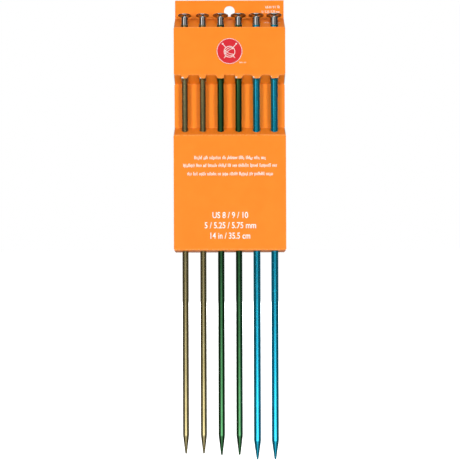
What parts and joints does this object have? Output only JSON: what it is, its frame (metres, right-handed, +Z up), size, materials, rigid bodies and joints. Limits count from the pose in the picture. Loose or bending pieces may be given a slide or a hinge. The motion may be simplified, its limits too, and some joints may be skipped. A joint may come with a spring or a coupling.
{
  "type": "knitting needle set on a hanging card",
  "caption": "Single-pointed knitting needles with button heads, held upright in a folded paperboard hanging card with a recessed window and a hang hole.",
  "frame": {"origin": "centre of the hang hole on the card's rear face, where the face meets a wall", "axes": "+Z up along the needles, from their points to their heads; +Y out of the card's rear face; the printed front faces -Y"},
  "size_m": [0.0898, 0.016, 0.373],
  "materials": {
    "card": "satin",
    "gold_anodised": "satin",
    "green_anodised": "satin",
    "blue_anodised": "satin",
    "bright_metal": "polished",
    "white_ink": "satin",
    "red_ink": "satin"
  },
  "bodies": {
    "card": {"rear_panel": "card", "header_panel": "card", "top_wall": "card", "upper_front_panel": "card", "window_top_wall": "card", "window_band": "card", "window_bottom_wall": "card", "lower_front_panel": "card", "bottom_wall": "card", "upper_flap_left": "card", "upper_flap_right": "card", "band_flap_left": "card", "band_flap_right": "card", "lower_flap_left": "card", "lower_flap_right": "card"},
    "us8_needle_a": {"us8_shaft_a": "gold_anodised", "us8_cap_a": "bright_metal"},
    "us8_needle_b": {"us8_shaft_b": "gold_anodised", "us8_cap_b": "bright_metal"},
    "us9_needle_a": {"us9_shaft_a": "green_anodised", "us9_cap_a": "bright_metal"},
    "us9_needle_b": {"us9_shaft_b": "green_anodised", "us9_cap_b": "bright_metal"},
    "us10_needle_a": {"us10_shaft_a": "blue_anodised", "us10_cap_a": "bright_metal"},
    "us10_needle_b": {"us10_shaft_b": "blue_anodised", "us10_cap_b": "bright_metal"}
  },
  "joints": [
    {"name": "us8_slide_a", "type": "slide", "parent": "card", "child": "us8_needle_a", "axis": [0, 0, 1], "range_m": [0, 0.355]},
    {"name": "us8_slide_b", "type": "slide", "parent": "card", "child": "us8_needle_b", "axis": [0, 0, 1], "range_m": [0, 0.355]},
    {"name": "us9_slide_a", "type": "slide", "parent": "card", "child": "us9_needle_a", "axis": [0, 0, 1], "range_m": [0, 0.355]},
    {"name": "us9_slide_b", "type": "slide", "parent": "card", "child": "us9_needle_b", "axis": [0, 0, 1], "range_m": [0, 0.355]},
    {"name": "us10_slide_a", "type": "slide", "parent": "card", "child": "us10_needle_a", "axis": [0, 0, 1], "range_m": [0, 0.355]},
    {"name": "us10_slide_b", "type": "slide", "parent": "card", "child": "us10_needle_b", "axis": [0, 0, 1], "range_m": [0, 0.355]}
  ]
}
